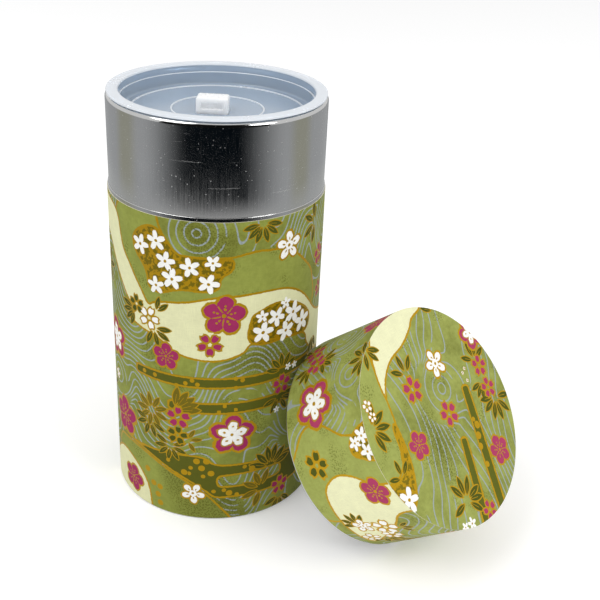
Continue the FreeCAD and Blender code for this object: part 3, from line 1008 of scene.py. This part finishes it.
bm = bmesh.new()
outside = draw(bm, (CAP_INSIDE, CAP_TIN_LENGTH), (CAP_TIN - 0.15, CAP_TIN_LENGTH),
               (CAP_TIN, CAP_TIN_LENGTH - 0.15), (CAP_TIN, HEM_ROUND))
hem = curl(bm, outside[-1], (CAP_TIN - HEM_ROUND, HEM_ROUND), 180, 10)
inside = draw(bm, (HEM_INSIDE, HEM_HEIGHT), (CAP_INSIDE, HEM_HEIGHT))
join(bm, hem, inside[0])
join(bm, inside[-1], outside[0])
turn(bm, 256)
roll_out(bm, CAP_TIN)
skirt = finished("cap_skirt", bm, inside_tin, leaning)
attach(skirt, "outer_lid")
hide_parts("lid_barrel")


# --- Cap: top plate -------------------------------------------------------------------------
# The plate that closes the cap: a shallow cup pressed from the same tinplate, pushed into the
# skirt until it is flush with its far end, with its edge turned down inside.

PLATE_DEPTH = 4.0

bm = bmesh.new()
pressed_cup(bm, CAP_INSIDE - 0.05, PLATE_DEPTH, BASE_CORNER)
turn(bm, 192)
roll_out(bm, CAP_INSIDE)
turned_over = Matrix.Translation((0, 0, CAP_TIN_LENGTH)) @ Matrix.Rotation(math.pi, 4, "X")
bmesh.ops.transform(bm, matrix=turned_over, verts=bm.verts[:])
plate = finished("cap_plate", bm, inside_tin, leaning)
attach(plate, "outer_lid")
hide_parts("lid_top_plate")


# --- Cap: printed paper of the skirt --------------------------------------------------------
# A strip of the same printed paper pasted round the skirt, short of its rolled mouth by about
# a millimetre and cut flush with its closed end, under the round sheet.

CAP_RADIUS = 40.78
CAP_REVEAL = 0.9
# Painted light: the same inks as on the can, each set lighter, so that the cap's paper looks more
# brightly lit than the can's.
cap_washi_painted_lighter = printed_paper(
    "cap_washi_painted_lighter", light=colour(160, 168, 88), dark=colour(90, 94, 16),
    cream=colour(226, 226, 184), gold=colour(190, 150, 18), red=colour(166, 56, 94),
    silver=colour(156, 166, 164), white=colour(240, 240, 236), leaf=colour(76, 82, 10))

skirt_design = {
    "cream": [[(71, 46), (71, 37), (69, 31.5), (65, 26), (63.5, 19), (66, 12.5), (70, 9),
               (80, 6.5), (92, 5), (101, 4.5), (99, 10), (97, 15), (93, 22), (89, 28),
               (85, 32), (84, 37), (85, 46)]],
    "gilt": [[(48, 46), (49, 38), (52, 33), (55, 30.5), (59, 31), (60.5, 35), (62, 38), (62, 46)]],
    "dark": [bar((104, 14), (118, 28), 2.5)],
    "plain": [[(53, 46), (51.5, 29), (49, 25), (46, 20.5), (44, 15), (45, 9), (52, 3.6),
               (60, -4), (84, -4), (84, 46)]],
    "deep": [],
    "flow": (0.0, 0.72, 1.0),
    "whirls": [(8, 22, 16), (30, 34, 14), (110, 8, 16)],
    "blossoms": [
        (37, 16, 9.8, 80, RINGED), (19.5, 12.5, 5.4, 90, CHERRY), (12, 7.5, 5.4, 60, CHERRY),
        (5, 36, 6.6, 60, PLUM), (58.5, 12, 6.0, 90, GOLD), (73, 32, 6.4, 85, PLUM),
        (90.5, 21, 5.8, 80, PALE), (87, 13, 4.6, 95, WHITE), (97, 18, 4.4, 70, PALE),
        (96, 8.5, 4.2, 90, PALE), (53, 37.5, 3.2, 80, STAR), (58.5, 38, 3.2, 60, STAR),
        (54.8, 33.6, 2.8, 70, STAR), (58.6, 33, 1.2, 0, DOT), (113, 33, 5.6, 80, CHERRY),
        (117, 18, 5.0, 80, WHITE),
    ],
    "leaves": [
        *spray(19, 15, 6.5, (30, 65, 100, 135)), *spray(20, 9, 6.5, (300, 335, 5)),
        *spray(25, 40, 6.5, (195, 235, 275, 320, 350)), *spray(12, 6, 6.5, (190, 150, 240, 290)),
        *spray(86, 12, 6.0, (135, 165, 195, 230, 260)), *spray(98, 13, 6.5, (10, 50, 330, 290, 90)),
        *spray(92, 26, 5.0, (30, 70, 110)), *spray(112, 12, 6.5, (20, 80, 140, 200, 270, 320)),
    ],
}
skirt_paper = printed_wall(
    "cap_side_paper", CAP_RADIUS, CAP_REVEAL, CAP_TIN_LENGTH, skirt_design, cap_washi_painted_lighter,
    leaning @ Matrix.Rotation(math.pi, 4, "Z"))
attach(skirt_paper, "outer_lid")
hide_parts("lid_side_washi")


# --- Cap: printed round sheet ---------------------------------------------------------------
# A disc of the printed paper pasted on the closed end last, out to the skirt paper's face, so
# that its cut edge shows as a fine pale line round the cap's crisp corner.

CAP_LENGTH = 40.0
face_design = {
    "cream": [[(15, 37), (8, 36), (5, 33), (-3, 29), (-12, 27.5), (-18, 23.5), (-21, 20),
               (-23.3, 15.5), (-23, 22), (-22, 27), (-19.5, 34), (-16, 39), (-10, 44),
               (12, 44), (16, 40)]],
    "gilt": [[(-24, 9), (-27, 7), (-27.5, 0), (-29.5, -4), (-31, -8), (-36, -9), (-44, -8),
              (-44, -16), (-36, -21), (-31, -17.5), (-27.5, -11), (-25, -4)]],
    "dark": [bar((18, 1.5), (6.5, -44), 2.7), bar((4, -13.5), (-5.5, -44), 2.5)],
    "plain": [[(-23, 16), (-22, 28), (-20, 36), (-24, 46), (-48, 46), (-48, -6), (-36, -9),
               (-29, -5), (-25, 4), (-24, 9)]],
    "deep": [[(-5, 8), (-13, 5), (-14, -20), (-8, -26), (-5, -10)]],
    "flow": (0.72, -0.10, 0.45),
    "whirls": [(6, 8, 15)],
    "blossoms": [
        (9, 17, 5.9, 100, WHITE), (-8.5, 14, 5.7, 80, CHERRY), (3.5, -1, 5.5, 95, CHERRY),
        (32, 6.5, 4.9, 70, CHERRY), (31, -2.5, 4.7, 80, CHERRY), (-18.5, -3.3, 5.6, 92, PLUM),
        (20.5, -24, 6.1, 90, PLUM), (0, -38.5, 4.4, 90, CHERRY), (-35, -16, 4.6, 60, STAR),
        (36, 19, 7.4, 100, RINGED), (-33, 18.5, 2.6, 90, PALE), (-33, 14.5, 2.2, 90, PALE),
        (23, 9, 0.9, 0, PALE), (21, 8, 0.9, 0, PALE), (21.5, 4.6, 0.9, 0, PALE),
        (15, -11, 1.6, 0, DOT), (13, -14.5, 1.6, 0, DOT), (11.3, -18.2, 1.4, 0, DOT),
        (10.2, -25, 1.2, 0, DOT), (14.5, -8.5, 1.0, 0, DOT), (-12, -37.5, 2.4, 80, STAR),
        (-16, -37, 2.0, 30, STAR),
    ],
    "leaves": [
        *spray(-8, 19.5, 7.0, (45, 95, 150)), *spray(31, 9, 7.0, (95, 150, 60, 20)),
        *spray(29, 1, 6.5, (185, 215, 240)), *spray(32, -7, 8.0, (165, 195, 230, 262, 300, 345)),
        *spray(-9, -30, 8.0, (190, 120, 85, 50, 345, 310, 10)),
        *spray(22, 33.5, 6.5, (60, 100, 150)), *spray(-22, 35.5, 6.5, (335, 305, 250, 200, 160)),
        *spray(-36, 11, 8.0, (20, 55, 345, 310, 280)), *spray(-33, -9, 6.0, (40, 90, 160)),
    ],
}

bm = bmesh.new()
edge_round = PAPER / 2
spoke = draw(bm, (0, CAP_LENGTH), (CAP_RADIUS - edge_round, CAP_LENGTH))
rounded_edge = curl(
    bm, spoke[-1], (CAP_RADIUS - edge_round, CAP_LENGTH - edge_round), 180, 8)
underside = draw(bm, (0, CAP_TIN_LENGTH))
join(bm, rounded_edge, underside[0])
bmesh.ops.subdivide_edges(bm, edges=list(spoke[0].link_edges), cuts=68)
turn(bm, 360)
flat = bm.loops.layers.uv.new("sheet")
for face in bm.faces:
    face.material_index = 0 if face.calc_center_median().z > CAP_LENGTH - 0.06 else 1
    for corner in face.loops:
        corner[flat].uv = corner.vert.co.xy
face_paper = finished("cap_face_paper", bm, [cap_washi_painted_lighter, bare_paper], leaning)
print_sheet(face_paper.data, face_design, 0)
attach(face_paper, "outer_lid")
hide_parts("lid_top_washi")


# --- Studio ---------------------------------------------------------------------------------
# A pale seamless table, soft light from a tent, two soft lamps high on the left and right, and a
# floor board and a dark screen outside the picture, which only shiny finishes can see.

bm = bmesh.new()
bmesh.ops.create_grid(bm, x_segments=1, y_segments=1, size=4000)
bmesh.ops.translate(bm, vec=(0, 0, -0.2), verts=bm.verts[:])
table_finish, tree, skin = new_material("table")
pale = colour(246, 246, 246)
fill(skin, Base_Color=pale, Roughness=1.0, Emission_Color=pale, Emission_Strength=0.17)
finished("table", bm, table_finish)


def reflected_room():
    """The room as the tin sees it low down: dark in front and behind, grey to the sides."""
    made, tree, skin = new_material("reflected_room")
    x, y = split(add(tree, "TexCoord").outputs["Object"])[:2]
    bearing = x.then("ARCTAN2", y * -1.0) * (180 / math.pi)
    away = (x * x + y * y).then("SQRT")
    front = (bearing - 2.0).size().under(50.0, 27.0)
    behind = bearing.size().over(166.0, 10.0)
    sidelong = (bearing.size() - 98.0).size().under(12.0, 8.0)
    grey = tint(sidelong, (0.40, 0.41, 0.42, 1), (0.36, 0.36, 0.30, 1))
    room = tint(front.most(behind), grey, (0.002, 0.004, 0.006, 1))
    near = tint(front, (0.46, 0.47, 0.47, 1), (0.80, 0.80, 0.80, 1))
    fill(skin, Base_Color=(0, 0, 0, 1), Specular_IOR_Level=0.0, Emission_Strength=1.0,
         Emission_Color=tint(away.over(0.415, 0.05), near, room))
    return made


bm = bmesh.new()
bmesh.ops.create_circle(bm, cap_ends=False, segments=64, radius=270)
widened = bmesh.ops.extrude_edge_only(bm, edges=bm.edges[:])
outer = [item for item in widened["geom"] if isinstance(item, bmesh.types.BMVert)]
bmesh.ops.scale(bm, vec=(15, 15, 1), verts=outer)
bmesh.ops.translate(bm, vec=(0, 0, 1), verts=bm.verts[:])
floor_board = finished("reflected_room", bm, reflected_room())

bm = bmesh.new()
upright_edge = bm.edges.new((bm.verts.new((0, -1300, 0)), bm.verts.new((0, -1300, 1900))))
bmesh.ops.rotate(bm, verts=bm.verts[:], matrix=Matrix.Rotation(math.radians(-52), 3, "Z"))
bmesh.ops.spin(
    bm, geom=[*upright_edge.verts, upright_edge], cent=(0, 0, 0), axis=(0, 0, 1), dvec=(0, 0, 0),
    angle=math.radians(110), steps=32, use_merge=False, use_duplicate=False)
screen_finish, tree, skin = new_material("dark_screen")
fill(skin, Base_Color=(0, 0, 0, 1), Specular_IOR_Level=0.0,
       Emission_Color=(0.006, 0.006, 0.006, 1), Emission_Strength=1.0)
dark_screen = finished("dark_screen", bm, screen_finish)

for hidden in (floor_board, dark_screen):
    hidden.visible_camera = False
    hidden.visible_diffuse = False
    hidden.visible_shadow = False
    hidden.visible_transmission = False

scene = bpy.context.scene
world = bpy.data.worlds.new("light_tent")
world.use_nodes = True
fill(world.node_tree.nodes["Background"], Color=(1, 1, 1, 1), Strength=0.80)
scene.world = world


def soft_lamp(name, size, power, place, aim):
    lamp = bpy.data.lights.new(name, "AREA")
    lamp.shape = "DISK"
    lamp.size = size
    lamp.energy = power
    made = bpy.data.objects.new(name, lamp)
    scene.collection.objects.link(made)
    made.location = place
    made.rotation_euler = (Vector(aim) - Vector(place)).to_track_quat("-Z", "Y").to_euler()
    return made


soft_lamp("high_left", 0.9, 6.0, (-0.7, -0.5, 1.2), (0.02, 0, 0.08))
soft_lamp("high_right", 0.6, 4.5, (0.9, -0.6, 0.9), (0.05, 0, 0.08))

scene.view_settings.view_transform = "Standard"
scene.view_settings.look = "None"

pitch = math.radians(27.032)
roll = math.radians(2.796)
camera = bpy.data.cameras.new("camera")
camera.sensor_width = 36.0
camera.lens = 58.6056
eye = bpy.data.objects.new("camera", camera)
scene.collection.objects.link(eye)
sight = Vector((0, math.cos(pitch), -math.sin(pitch)))
level = Vector((1, 0, 0))
upward = Vector((0, math.sin(pitch), math.cos(pitch)))
rightward = level * math.cos(roll) + upward * math.sin(roll)
upward = upward * math.cos(roll) - level * math.sin(roll)
stand = Matrix((rightward, upward, -sight)).transposed().to_4x4()
eye.matrix_world = Matrix.Translation((0.03264, -0.34045, 0.25132)) @ stand
scene.camera = eye
